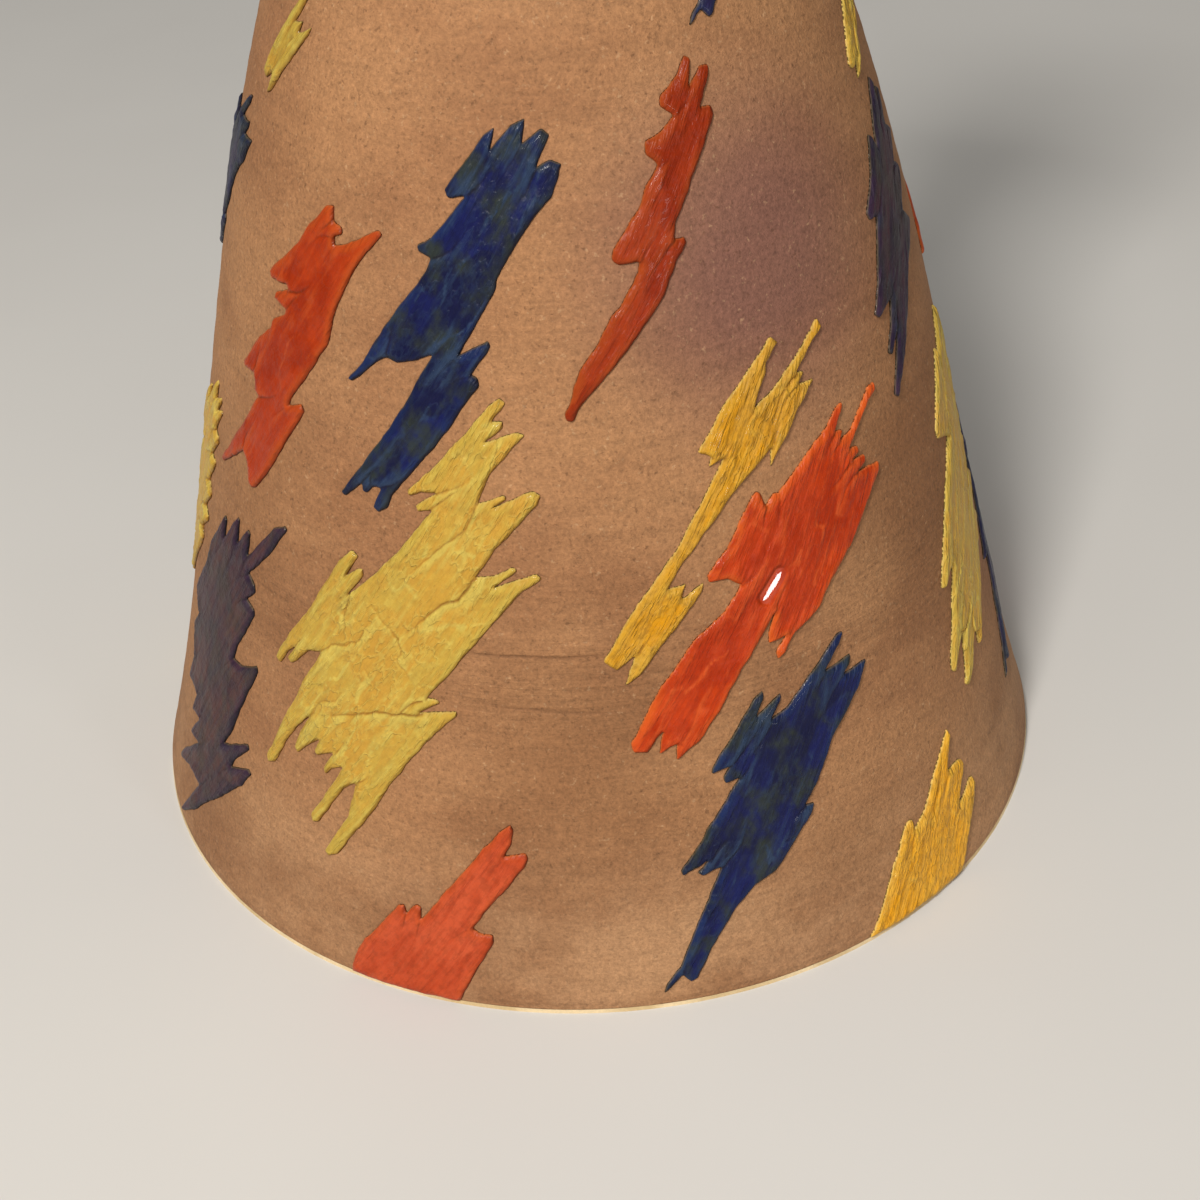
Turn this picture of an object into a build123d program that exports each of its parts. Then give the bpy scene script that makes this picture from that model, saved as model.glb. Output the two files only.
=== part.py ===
"""Tall conical pottery vase with raised splashes of coloured glaze.

The clay body is thrown in sections that are luted together: a floor slab, three
wall sections, a neck and a lip. A thin matte slip covers the outside, a lining
glaze covers the inside, and each splash of thick glaze is a piece of its own.

Millimetres. +Z is up. The origin is the middle of the foot, on the surface that
the vase stands on. The front is the -Y side.
"""

import os
from math import cos, radians, sin

from build123d import *

# Driving dimensions of the body, measured on its finished outside
vase_height = 480.0
foot_radius = 150.0
shoulder_height = 290.0
shoulder_radius = 65.0
neck_base_height = 380.0
neck_radius = 37.0
throat_length = 44.0
lip_radius = 51.0
foot_lean = 0.339  # how far the side moves inwards per millimetre of height
shoulder_lean = 0.446

# The clay and its skins, all measured level
wall = 8.0
skin = 0.8
relief = 1.5  # how far a splash stands out from the slip
splash_gap = 0.02  # hairline under a splash, so that its round back never cuts into the slip

# The floor and the bare foot ring
foot_recess = 4.0
floor_thickness = 10.0
bare_band = 1.2  # height of clay left bare above the ground

# Heights of the two seams between the thrown wall sections
lower_seam = 120.0
upper_seam = 250.0

lip_base_height = neck_base_height + throat_length
rim_centre_height = vase_height - skin - wall / 2
floor_top = foot_recess + floor_thickness

# The side in three stretches, each a cubic curve whose handles lie a third of the
# way along it in height: (low end height, high end height, four radii)
foot_third = shoulder_height / 3
shoulder_third = (neck_base_height - shoulder_height) / 3
side_stretches = [
    (
        0.0,
        shoulder_height,
        (
            foot_radius,
            foot_radius - foot_lean * foot_third,
            shoulder_radius + shoulder_lean * foot_third,
            shoulder_radius,
        ),
    ),
    (
        shoulder_height,
        neck_base_height,
        (
            shoulder_radius,
            shoulder_radius - shoulder_lean * shoulder_third,
            neck_radius,
            neck_radius,
        ),
    ),
    (neck_base_height, lip_base_height, (neck_radius,) * 4),
    (lip_base_height, rim_centre_height, (neck_radius, neck_radius, lip_radius, lip_radius)),
]


def side_radius(height):
    """Finished outer radius of the vase at a height."""
    for low, high, radii in side_stretches:
        if height <= high:
            break
    t = (height - low) / (high - low)
    near, near_handle, far_handle, far = radii
    return (
        near * (1 - t) ** 3
        + 3 * near_handle * t * (1 - t) ** 2
        + 3 * far_handle * t**2 * (1 - t)
        + far * t**3
    )


def draw_side(inset):
    """Draw the side from the ground to the rim's centre height, moved inwards."""
    for low, high, radii in side_stretches:
        third = (high - low) / 3
        points = [(radius - inset, low + i * third) for i, radius in enumerate(radii)]
        if min(radii) == max(radii):
            Line(points[0], points[-1])
        else:
            Bezier(*points)


def draw_rim(inset_outside, inset_inside):
    """Draw the round top that joins an outer side to an inner side."""
    start = lip_radius - inset_outside
    end = lip_radius - inset_inside
    ThreePointArc(
        (start, rim_centre_height),
        ((start + end) / 2, rim_centre_height + (start - end) / 2),
        (end, rim_centre_height),
    )


def draw_inside_of(inset):
    """Draw round everything inside one side line, up to the rim's centre height."""
    draw_side(inset)
    Polyline(
        (lip_radius - inset, rim_centre_height),
        (0, rim_centre_height),
        (0, 0),
        (foot_radius - inset, 0),
    )


def keep_between(low, high):
    """Cut the part in hand level at two heights and keep the middle."""
    split(bisect_by=Plane.XY.offset(low), keep=Keep.TOP)
    split(bisect_by=Plane.XY.offset(high), keep=Keep.BOTTOM)


def save(builder, name):
    builder.part.label = name
    export_step(builder.part, f"parts/{name}.step")


os.makedirs("parts", exist_ok=True)

clay_face = skin
clay_inner_face = skin + wall
lining_face = skin + wall + skin

# Clay wall sections, turned from one continuous wall
wall_sections = {
    "lower_wall": (0.0, lower_seam),
    "middle_wall": (lower_seam, upper_seam),
    "upper_wall": (upper_seam, neck_base_height),
    "neck": (neck_base_height, lip_base_height),
    "lip_ring": (lip_base_height, vase_height),
}
for name, (low, high) in wall_sections.items():
    with BuildPart() as section:
        with BuildSketch(Plane.XZ):
            with BuildLine():
                draw_side(clay_face)
                draw_rim(clay_face, clay_inner_face)
                draw_side(clay_inner_face)
                Line((foot_radius - clay_inner_face, 0), (foot_radius - clay_face, 0))
            make_face()
        revolve(axis=Axis.Z)
        keep_between(low, high)
    save(section, name)

# Clay floor, cut to the leaning inside of the lowest wall section
with BuildPart() as base_slab:
    with BuildSketch(Plane.XZ):
        with BuildLine():
            draw_inside_of(clay_inner_face)
        make_face()
    revolve(axis=Axis.Z)
    keep_between(foot_recess, floor_top)
save(base_slab, "base_slab")

# Lining glaze over the inside of the walls and over the floor
with BuildPart() as lining_space:
    with BuildSketch(Plane.XZ):
        with BuildLine():
            draw_inside_of(lining_face)
        make_face()
    revolve(axis=Axis.Z)
    keep_between(floor_top + skin, rim_centre_height)

with BuildPart() as lining_glaze:
    with BuildSketch(Plane.XZ):
        with BuildLine():
            draw_inside_of(clay_inner_face)
        make_face()
    revolve(axis=Axis.Z)
    keep_between(floor_top, rim_centre_height)
    add(lining_space.part, mode=Mode.SUBTRACT)
save(lining_glaze, "lining_glaze")

# Slip coat: up the outside, over the rim and down to the rim's centre height
with BuildPart() as slip_coat:
    with BuildSketch(Plane.XZ):
        with BuildLine():
            draw_side(0)
            draw_rim(0, lining_face)
            Line(
                (lip_radius - lining_face, rim_centre_height),
                (lip_radius - clay_inner_face, rim_centre_height),
            )
            draw_rim(clay_face, clay_inner_face)
            draw_side(clay_face)
            Line((foot_radius - clay_face, 0), (foot_radius, 0))
        make_face()
    revolve(axis=Axis.Z)
    split(bisect_by=Plane.XY.offset(bare_band), keep=Keep.TOP)
save(slip_coat, "slip_coat")

# Outlines of the splashes, seen square on, as they lie on the curved side:
# (across, up) in millimetres from the middle of the splash
broad_flame = [
    (34, 71.5), (36, 70), (31.5, 65.5), (35, 65.5), (35, 64), (29, 60), (39, 63), (41.5, 62.5),
    (30.5, 51.5), (26.5, 44), (34.5, 46.5), (35.5, 45.5), (31.5, 43.5), (43, 47.5), (45.5, 46.5),
    (44.5, 44), (31, 31), (25.5, 23.5), (31, 24.5), (36, 27), (37.5, 26), (31, 21.5), (43, 25.5),
    (44.5, 24), (39, 20.5), (26, 6), (10.5, -13.5), (13, -13), (14.5, -14), (8.5, -18), (19, -15.5),
    (19.5, -17), (14, -22), (9, -28), (1, -40), (-6, -53), (-16, -69), (-19, -71.5), (-20.5, -70),
    (-13.5, -56), (-11, -45), (-15, -48), (-19, -54.5), (-22.5, -62), (-25, -63), (-26, -61),
    (-15.5, -41.5), (-19, -43.5), (-21.5, -46), (-22.5, -44.5), (-19, -38.5), (-25, -41.5), (-26, -40),
    (-24, -36), (-28.5, -39.5), (-32, -43.5), (-33.5, -42), (-31.5, -36), (-28, -30.5), (-32, -34.5),
    (-36.5, -41.5), (-41, -51), (-43.5, -52.5), (-44.5, -50), (-37, -32), (-25, -9), (-29, -10),
    (-36, -17), (-38, -15.5), (-35, -11), (-38, -14), (-41, -19), (-43.5, -17.5), (-38, -8), (-31, 1.5),
    (-19, 20.5), (-14.5, 24.5), (-12, 23), (-16, 16.5), (-12, 19.5), (-10, 20), (-10, 18), (-15, 11),
    (1, 27), (12.5, 40.5), (8, 39.5), (7, 41), (14, 45.5), (9, 45), (5, 43.5), (4.5, 45), (16, 55),
    (30.5, 69.5),
]
bent_flame = [
    (27.5, 40), (30.5, 41), (30, 39), (25.5, 34.5), (29, 34), (27, 31.5), (33, 33), (38.5, 38),
    (43.5, 41), (46.5, 41), (46.5, 39), (42, 37), (30, 28), (33.5, 27.5), (34, 25.5), (30.5, 24.5),
    (36, 24), (36, 22), (32, 20.5), (41.5, 19.5), (41, 17), (25, 2), (15, -6), (11, -11), (1, -16),
    (-2, -20), (-5, -21.5), (-5, -19), (-1.5, -15.5), (-7, -16), (-6.5, -12.5), (-4, -8), (-12, -17),
    (-29, -39), (-36, -43.5), (-35, -38.5), (-40, -40.5), (-38.5, -34), (-43, -39.5), (-46.5, -39),
    (-47, -36), (-38, -21), (-28, -9.5), (-19, -3.5), (-13, 3), (-17, 5.5), (-22, 5.5), (-22.5, 8),
    (-16, 14), (-9, 23), (-5, 27), (-3.5, 26), (-2.5, 22.5), (1, 25), (2, 24.5),
]
slim_bolt = [
    (37, 41.5), (38.5, 39), (33.5, 36), (26, 30), (29, 29.5), (26, 27), (32, 26.5), (25.5, 21), (13, 8),
    (14, 13), (3, 6), (-14, -10), (-20, -18), (-15, -17), (-16.5, -21), (-10, -18), (-11, -21),
    (-18, -28), (-29, -41), (-33, -43.5), (-30, -35.5), (-35, -39), (-38, -36), (-30, -23), (-18, -9),
    (-1, 14), (-5.5, 12.5), (-4.5, 15), (-8, 17), (1, 27.5), (19, 41.5), (21.5, 39.5), (16.5, 35.5),
    (16, 33), (10.5, 25), (18, 28.5), (27, 34),
]
ragged_leaf = [
    (32, 44.5), (30, 41.5), (23.5, 36), (33.5, 37), (33, 35), (30, 32.5), (40, 33), (34.5, 26),
    (22.5, 15.5), (16, 5.5), (10, -1), (13, -1.5), (12, -4), (-2, -17.5), (-9, -20), (-16, -26.5),
    (-22.5, -35), (-27.5, -44), (-29.5, -45), (-31.5, -42), (-37, -47), (-36, -44), (-32, -39.5),
    (-28, -30.5), (-18, -12), (-23.5, -13.5), (-25, -12), (-21.5, -9), (-29, -12), (-29.5, -10.5),
    (-9.5, 13.5), (-14, 13), (-14.5, 15), (-12, 18), (-18, 16.5), (-17.5, 18.5), (-2, 35.5), (1, 37),
    (1, 35), (-2, 30), (6.5, 35), (6.5, 33), (3, 28), (8, 30), (29.5, 44.5),
]
double_leaf = [
    (31, 40), (22, 31), (15, 21), (14.5, 18.5), (4.5, 2), (12, 6), (13, 4.5), (7.5, -3), (9, -3.5),
    (9.5, -5.5), (1, -18), (-14, -37), (-15.5, -41), (-18, -43), (-19.5, -41.5), (-17.5, -36),
    (-19.5, -36), (-21.5, -38.5), (-23, -38), (-23, -36), (-28, -41), (-29.5, -40), (-15, -19), (-3, 1),
    (-8, -1), (-13, -2), (-16, -1), (-19, -2.5), (-27, -9.5), (-28.5, -9), (-22, -1), (-18, 6), (-6, 21),
    (-4, 25), (-8, 26), (-8.5, 27.5), (-4, 30), (6, 40), (1, 39.5), (0, 41.5), (12, 54.5), (15, 56),
    (14, 51), (20, 56.5), (24.5, 58), (23, 52), (29, 55.5), (31.5, 54), (27, 46.5), (31, 48.5),
    (34.5, 47.5),
]
stepped_flame = [
    (12.5, 43), (12.5, 39.5), (16, 38.5), (16.5, 37), (13.5, 35.5), (14, 33.5), (22, 36), (29.5, 40),
    (31, 39), (22, 29), (16, 18), (13.5, 8), (9, 1), (0, -10.5), (-0.5, -12), (4.5, -10.5), (6, -12),
    (-5, -30), (-13.5, -41.5), (-16, -42.5), (-17.5, -41), (-18.5, -35.5), (-21, -33.5), (-34.5, -43.5),
    (-36, -42.5), (-22.5, -25.5), (-17, -17), (-15, -15), (-17, -14), (-17, -11), (-18, -9.5),
    (-23.5, -10), (-25, -8.5), (-17, 1.5), (-11, 6), (-10.5, 8.5), (-5, 11.5), (-4.5, 12.5), (-10, 14),
    (-10, 16), (-4, 18), (-5, 19), (-12.5, 18.5), (-14, 20.5), (-12.5, 22.5), (-2, 31), (1.5, 35.5),
    (9.5, 42.5),
]
tall_leaf = [
    (25, 63), (26.5, 62), (17, 51), (6, 41), (10, 39), (11, 37), (6, 33), (10.5, 31.5), (11, 29.5),
    (2, 15.5), (0, 10.5), (5, 10.5), (14, 14.5), (15, 13), (9.5, 3), (3.5, -11), (-1.5, -19.5),
    (12, -12.5), (13, -14), (5.5, -21.5), (4, -24.5), (13.5, -20), (15, -21), (11, -27), (-15.5, -53),
    (-25.5, -61), (-27, -60), (-15.5, -43.5), (-20, -43), (-25, -43.5), (-35, -48), (-36.5, -46.5),
    (-31, -40.5), (-20, -31.5), (-28, -33), (-28.5, -31.5), (-22, -23.5), (-29, -25), (-29.5, -23.5),
    (-26.5, -17.5), (-32, -17.5), (-38, -19), (-39, -17), (-35, -8), (-38.5, 1), (-38.5, 3), (-34, 8),
    (-40.5, 13), (-40.5, 15), (-29, 30), (-25, 38.5), (-14, 51), (-12.5, 50), (-13, 44.5), (-4, 55),
    (-2.5, 54.5), (-2.5, 47.5), (4, 54), (5.5, 53), (5, 46.5), (19, 60),
]
foot_flame = [
    (24.5, 28), (25.5, 26), (24.5, 22), (22.5, 18.5), (28.5, 19.5), (29.5, 18), (28.5, 15), (12.5, -5),
    (15, -6.5), (18.5, -6.5), (19, -9), (14.5, -16), (8.5, -30), (-26, -30), (-24.5, -23.5), (-22, -17.5),
    (-11, -2.5), (-9, -2), (-8, -4.5), (-5, -1), (-3.5, -1.5), (-3.5, -5.5), (10, 12.5), (20, 24.5),
]
foot_fan = [
    (19.5, 20.5), (22, 22), (23, 20.5), (18, 10), (25.5, 10), (27, 8.5), (25.5, 5), (19.5, -2.5),
    (24, -1.5), (28.5, 1), (30.5, 0.5), (31, -1.5), (29, -5), (20, -14), (13, -24), (-27.5, -24),
    (-6, 4.5), (-4, 5.5), (-2.5, 4.5), (-2.5, 1.5), (3, 4.5),
]
spear = [
    (-2.5, 12.5), (6, 22), (8, 26), (12.5, 30.5), (9.5, 34), (10, 36.5), (15, 38), (19, 41), (15.5, 43.5),
    (16, 46), (22, 50), (25.5, 54), (27.5, 53), (25.5, 47), (30, 51), (33, 51), (33, 49), (28, 41.5),
    (31.5, 41.5), (32, 39.5), (25, 30.5), (16, 17), (14.5, 13), (17.5, 13), (18, 11.5), (15, 8.5),
    (10, 0), (-3, -14.5), (-13.5, -25), (-15, -28.5), (-17, -28.5), (-17.5, -26.5), (-13, -16), (4, 6.5),
    (4.5, 9), (-1, 9), (-3, 10.5),
]
comb = [
    (-15.5, -3), (-14, -4.5), (-6, -2), (-8, -8), (-12.5, -15), (-11, -16.5), (-6, -10.5), (-8, -16),
    (-13.5, -27), (-12, -28.5), (12, 0.5), (24, 8), (24.5, 9.5), (18.5, 14), (27.5, 23), (27, 25),
    (21.5, 26.5), (29.5, 33), (28.5, 35), (23.5, 36.5), (29, 45.5), (27, 46.5), (20, 41.5), (23, 49),
    (21, 50.5), (13.5, 43), (9, 34.5), (7.5, 38.5), (5.5, 39.5), (0, 31), (-8.5, 22.5), (-7.5, 20.5),
    (-3, 20), (-11, 4),
]
long_flame = [
    (-5, 28.5), (-4.5, 26.5), (6, 22), (-6, 11), (-18, -6), (-22, -13), (-20, -14.5), (-12.5, -9.5),
    (-14, -14), (-26, -39), (-24, -41), (-20, -37), (-16, -31.5), (-15, -33), (-19.5, -48.5),
    (-17.5, -50), (-13, -45.5), (-8, -38), (-5, -39.5), (-5.5, -44), (-4, -44.5), (7, -31), (22, -14.5),
    (22.5, -13), (20, -9), (28.5, -3), (28.5, -1), (23, 2), (31, 8.5), (31, 10), (26, 14), (34.5, 23.5),
    (33.5, 25), (28, 26), (36.5, 33.5), (35.5, 35.5), (31.5, 37), (38.5, 45.5), (37, 47), (32, 45),
    (36.5, 49.5), (35, 51), (28, 48), (30, 53.5), (28, 55), (21, 49.5), (15, 43), (14.5, 47),
    (12.5, 47.5), (6, 41.5),
]

# Where the splashes lie: (outline, degrees round from the front towards +X,
# height of the middle, size, degrees turned against the clock)
splashes = {
    "yellow_splash": [
        (broad_flame, -26.7, 106, 1.0, 0),
        (slim_bolt, 20.6, 142, 1.0, 0),
        (foot_fan, 42.0, 24, 1.0, 0),
        (long_flame, 66.8, 100, 1.0, 0),
        (long_flame, -82.5, 108, 0.8, 0),
        (slim_bolt, 84, 262, 0.72, 0),
        (broad_flame, 138, 124, 0.95, 3),
        (foot_fan, 177, 24, 1.1, 0),
        (long_flame, 168, 234, 0.72, 0),
        (slim_bolt, 240, 168, 1.0, 0),
        (foot_fan, 254, 24, 1.0, 0),
        (slim_bolt, -46, 272, 0.75, 3),
        (broad_flame, 198, 318, 0.5, 0),
    ],
    "red_splash": [
        (bent_flame, 26.8, 118, 1.0, 0),
        (foot_flame, -21.0, 30, 1.0, 0),
        (spear, 8.4, 200, 1.0, 0),
        (stepped_flame, -46.6, 176, 1.0, 0),
        (foot_flame, 114, 30, 1.0, 0),
        (spear, 96, 190, 0.9, -3),
        (bent_flame, 181, 124, 1.0, 3),
        (stepped_flame, 226, 222, 0.9, 0),
        (stepped_flame, 234, 70, 1.0, -4),
        (bent_flame, 277, 284, 0.62, 0),
        (bent_flame, 0, 300, 0.6, 0),
        (stepped_flame, 133, 308, 0.65, 0),
    ],
    "blue_splash": [
        (ragged_leaf, 21.4, 52, 1.0, 0),
        (double_leaf, -19.1, 186, 1.0, 0),
        (tall_leaf, -57.3, 66, 1.0, 0),
        (comb, 61.1, 178, 1.0, 0),
        (ragged_leaf, 92, 78, 1.1, -4),
        (double_leaf, 130, 212, 0.85, 0),
        (tall_leaf, 152, 52, 0.78, 4),
        (double_leaf, 206, 62, 1.0, 0),
        (comb, 195, 206, 0.95, 0),
        (ragged_leaf, 273, 196, 0.85, 0),
        (comb, 222, 300, 0.65, 0),
        (ragged_leaf, 46, 290, 0.65, 0),
    ],
}


def lay_on_side(outline, middle_height, size, turn):
    """Sketch points, on the plane square to the side, of an outline laid on the side.

    Distances across are kept round the curve, so they shorten on the flat plane.
    """
    middle_radius = side_radius(middle_height)
    points = []
    for across, up in outline:
        x = size * (across * cos(radians(turn)) - up * sin(radians(turn)))
        y = size * (across * sin(radians(turn)) + up * cos(radians(turn)))
        points.append((side_radius(middle_height + y) * sin(x / middle_radius), y))
    return points


# The thin layer that every splash is cut from
with BuildPart() as glaze_layer:
    with BuildSketch(Plane.XZ):
        with BuildLine():
            draw_side(-relief)
            Line(
                (lip_radius + relief, rim_centre_height),
                (lip_radius + splash_gap, rim_centre_height),
            )
            draw_side(-splash_gap)
            Line((foot_radius + splash_gap, 0), (foot_radius + relief, 0))
        make_face()
    revolve(axis=Axis.Z)
    split(bisect_by=Plane.XY.offset(bare_band), keep=Keep.TOP)

for name, places in splashes.items():
    for number, (outline, angle, middle_height, size, turn) in enumerate(places, start=1):
        facing = Vector(sin(radians(angle)), -cos(radians(angle)), 0)
        rightwards = Vector(cos(radians(angle)), sin(radians(angle)), 0)
        with BuildPart() as splash:
            with BuildSketch(Plane((0, 0, middle_height), x_dir=rightwards, z_dir=facing)):
                with BuildLine():
                    Polyline(*lay_on_side(outline, middle_height, size, turn), close=True)
                make_face()
            extrude(amount=foot_radius + 2 * relief)
            add(glaze_layer.part, mode=Mode.INTERSECT)
        save(splash, f"{name}_{number:02d}")
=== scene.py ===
# %% [markdown]
# # A pottery vase with raised splashes of glaze
# A tall cone of thrown clay, brushed outside with a matte brown slip. Thick glaze was trailed onto
# the slip in ragged splashes of yellow, orange-red and cobalt blue, so each splash stands out from
# the side like a flat bead of glass. The lesson turns the body on a lathe profile, pours each splash
# as a mesh of its own, and mixes one finish for each clay, slip and glaze.
# The first step loads the solid model, which fixes where everything goes.

# %% Load the frame
import math

import bmesh
import bpy
import numpy as np
from mathutils import Matrix, Vector, kdtree, noise
from mathutils.geometry import delaunay_2d_cdt


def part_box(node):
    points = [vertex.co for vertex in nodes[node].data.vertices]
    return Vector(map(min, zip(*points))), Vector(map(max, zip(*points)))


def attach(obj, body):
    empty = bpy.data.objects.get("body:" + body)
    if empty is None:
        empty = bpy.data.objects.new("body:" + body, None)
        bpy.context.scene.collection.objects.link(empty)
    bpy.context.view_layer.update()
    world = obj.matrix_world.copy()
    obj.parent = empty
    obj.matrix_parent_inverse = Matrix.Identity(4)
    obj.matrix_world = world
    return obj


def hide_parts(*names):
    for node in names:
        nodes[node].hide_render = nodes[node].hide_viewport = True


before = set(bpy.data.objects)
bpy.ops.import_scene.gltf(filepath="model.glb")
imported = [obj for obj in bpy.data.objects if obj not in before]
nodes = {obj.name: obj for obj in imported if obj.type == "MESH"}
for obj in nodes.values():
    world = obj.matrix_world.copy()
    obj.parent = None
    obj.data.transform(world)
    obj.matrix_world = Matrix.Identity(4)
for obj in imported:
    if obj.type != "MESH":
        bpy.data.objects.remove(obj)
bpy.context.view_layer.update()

splash_nodes = sorted(name for name in nodes if "_splash_" in name)
print("nodes:", len(nodes), "splashes:", len(splash_nodes))

# %% [markdown]
# ## The side line of the vase
# A potter checks a thrown side against a rib cut to the profile. Here the rib is four cubic curves,
# one above the other, given by the radius at each end and at two handles in between. Lengths are in
# millimetres while shapes are worked out, and turn into metres when a mesh is made.

# %% The profile
METRES = 0.001
FOOT_RADIUS, NECK_RADIUS, LIP_RADIUS, RIM_CENTRE = 150.0, 37.0, 51.0, 475.2
# Top of the clay floor, thickness of the slip, and how far inside the slip's surface the clay and the
# lining end
FLOOR_TOP, SKIN, CLAY_INNER, LINING_INNER = 14.0, 0.8, 8.8, 9.6
# Height of the bare foot below the slip, and how far the solid splashes stand out
BARE_BAND, RELIEF = 1.2, 1.5

# (from this height, to this one, radius at its start, two handles and end)
side_stretches = [
    (0.0, 290.0, (FOOT_RADIUS, 117.23, 108.113, 65.0)),
    (290.0, 380.0, (65.0, 51.62, NECK_RADIUS, NECK_RADIUS)),
    (380.0, 424.0, (NECK_RADIUS,) * 4),
    (424.0, RIM_CENTRE, (NECK_RADIUS, NECK_RADIUS, LIP_RADIUS, LIP_RADIUS)),
]


def side_radius(height):
    """Outer radius at a height, or at an array of heights."""
    height = np.asarray(height, float)
    radius = np.full_like(height, LIP_RADIUS)
    for low, high, (a, b, c, d) in reversed(side_stretches):
        t = np.clip((height - low) / (high - low), 0, 1)
        curve = a * (1 - t) ** 3 + 3 * b * t * (1 - t) ** 2 + 3 * c * t**2 * (1 - t) + d * t**3
        radius = np.where(height < high, curve, radius)
    return radius


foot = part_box("lower_wall")
print("foot radius by the profile:", float(side_radius(0)), "in the frame:", round(foot[1].x / METRES, 1))

# %% [markdown]
# ## The surface of the slip
# Fingers leave faint rings on a thrown side, a few millimetres apart and a few hundredths of a
# millimetre deep, and they fade in and out round the vase. Five scored arcs cross the front, two of
# them deep. Next to the ground the slip was wiped thin with a sponge, which leaves a line of bare
# clay. One function gives this surface, because the splashes have to lie on the same one.

# %% Rings, scored lines and the wiped foot
TO_FRONT = -math.pi / 2  # the front of the vase is its -Y side
# (wavelength, depth, phase, how often the ring fades on its way round)
finger_rings = [(13.7, 0.060, 0.4, 1), (7.9, 0.045, 2.1, 2), (4.6, 0.030, 4.4, 3), (2.9, 0.016, 1.2, 5)]
# (degrees from the front where it starts and ends, height at each, depth)
scored_lines = [
    (-17, 3, 107.7, 107.4, 0.34), (-18, 6, 93.9, 90.2, 0.26), (-6, 22, 101.6, 101.2, 0.12),
    (-2, 26, 111.8, 111.5, 0.10), (2, 24, 86.4, 85.8, 0.10),
]
SCORE_WIDTH = 0.36
WIPED, WIPED_REACH = 0.72, 3.2  # how much slip the sponge took off, and how far up


def smoothly(value):
    """0 below 0, 1 above 1, and an easy S in between."""
    value = np.clip(value, 0, 1)
    return value * value * (3 - 2 * value)


def scored(height, angle):
    """How deep the scored lines cut here."""
    cut = 0
    for start, end, low, high, depth in scored_lines:
        across = (np.degrees(angle - TO_FRONT) - start) / (end - start)
        line = low + (high - low) * across + 0.12 * np.sin(across * 17)
        ends = smoothly(across / 0.25) * smoothly((1 - across) / 0.25)
        cut = cut + depth * ends * np.exp(-(((height - line) / SCORE_WIDTH) ** 2))
    return cut


def slip_radius(height, angle):
    """Radius of the slip's surface, with what the hands and tools left on it."""
    radius = side_radius(height)
    for wavelength, depth, phase, fades in finger_rings:
        swell = 0.55 + 0.45 * np.sin(fades * angle + phase + height / 37)
        turn = 2 * math.pi * height / wavelength + phase + 0.5 * np.sin(angle)
        radius = radius + depth * swell * np.sin(turn)
    radius = radius - scored(height, angle)
    wiped = 1 - smoothly((height - BARE_BAND) / WIPED_REACH)
    return radius - WIPED * wiped


print("slip thickness at its bottom edge, mm:", round(SKIN - WIPED, 2))

# %% [markdown]
# ## Turning a profile
# A lathe part is a closed loop of (radius, height) pairs swept round the axis. The loop runs up the
# outside and down the inside, so the swept mesh is closed like a ring and has no open edge.

# %% The lathe
COLUMNS = 192


def turned(name, radii, heights, shown=None):
    """A closed mesh swept from a loop of radii and heights; shown is 1 where a row follows the slip."""
    angles = np.linspace(-math.pi, math.pi, COLUMNS, endpoint=False)
    radii, heights = np.asarray(radii, float), np.asarray(heights, float)
    grid = np.repeat(radii[:, None], COLUMNS, 1)
    if shown is not None:
        live = slip_radius(heights[:, None], angles[None, :]) - side_radius(heights)[:, None]
        grid = grid + live * np.asarray(shown, float)[:, None]
    levels = np.repeat(heights[:, None], COLUMNS, 1)
    spots = np.stack([grid * np.cos(angles), grid * np.sin(angles), levels], -1)
    row, column = np.meshgrid(np.arange(len(radii)), np.arange(COLUMNS), indexing="ij")
    here, after = row * COLUMNS, (row + 1) % len(radii) * COLUMNS
    beside = (column + 1) % COLUMNS
    faces = np.stack([here + column, here + beside, after + beside, after + column], -1)
    mesh = bpy.data.meshes.new(name)
    mesh.from_pydata((spots.reshape(-1, 3) * METRES).tolist(), [], faces.reshape(-1, 4).tolist())
    mesh.polygons.foreach_set("use_smooth", [True] * len(mesh.polygons))
    piece = bpy.data.objects.new(name, mesh)
    bpy.context.scene.collection.objects.link(piece)
    return piece


def rim_arc(outer, inner, steps):
    """Radii and heights of the half circle over the rim, from the outer to the inner side."""
    middle, reach = LIP_RADIUS - (outer + inner) / 2, (inner - outer) / 2
    turn = np.linspace(0, math.pi, steps)
    return middle + reach * np.cos(turn), RIM_CENTRE + reach * np.sin(turn)


print("a face at the foot is", round(2 * math.pi * FOOT_RADIUS / COLUMNS, 1), "mm wide")

# %% [markdown]
# ## The slip coat
# Slip is clay thinned to cream and brushed or poured on. The coat goes up the outside, over the rim
# and just down into the mouth. The rows are about 1.4 mm apart, and finer at the wiped foot and
# across the scored arcs. How deep each point is scored is kept on the mesh, because the colour is
# darkened there as painted shade in the grooves.

# %% Turn the slip coat
coarse = np.linspace(BARE_BAND, RIM_CENTRE, 344)
scored_band, scored_step = (84.5, 113), 0.3
fine = np.concatenate([np.arange(*scored_band, scored_step), np.linspace(BARE_BAND, 5, 12)])
up = np.unique(np.round(np.concatenate([coarse, fine]), 3))
over_r, over_z = rim_arc(0, LINING_INNER, 22)
back_r, back_z = rim_arc(SKIN, CLAY_INNER, 10)
down = np.linspace(RIM_CENTRE, BARE_BAND, 36)[1:]
radii = np.concatenate([side_radius(up), over_r[1:], back_r[::-1], side_radius(down) - SKIN])
heights = np.concatenate([up, over_z[1:], back_z[::-1], down])
shown = np.concatenate([np.ones(len(up)), np.zeros(len(heights) - len(up))])
slip_coat = turned("slip_coat_brushed", radii, heights, shown)
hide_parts("slip_coat")
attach(slip_coat, "root")
places = np.empty(len(slip_coat.data.vertices) * 3)
slip_coat.data.vertices.foreach_get("co", places)
across, back, level = places.reshape(-1, 3).T
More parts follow.
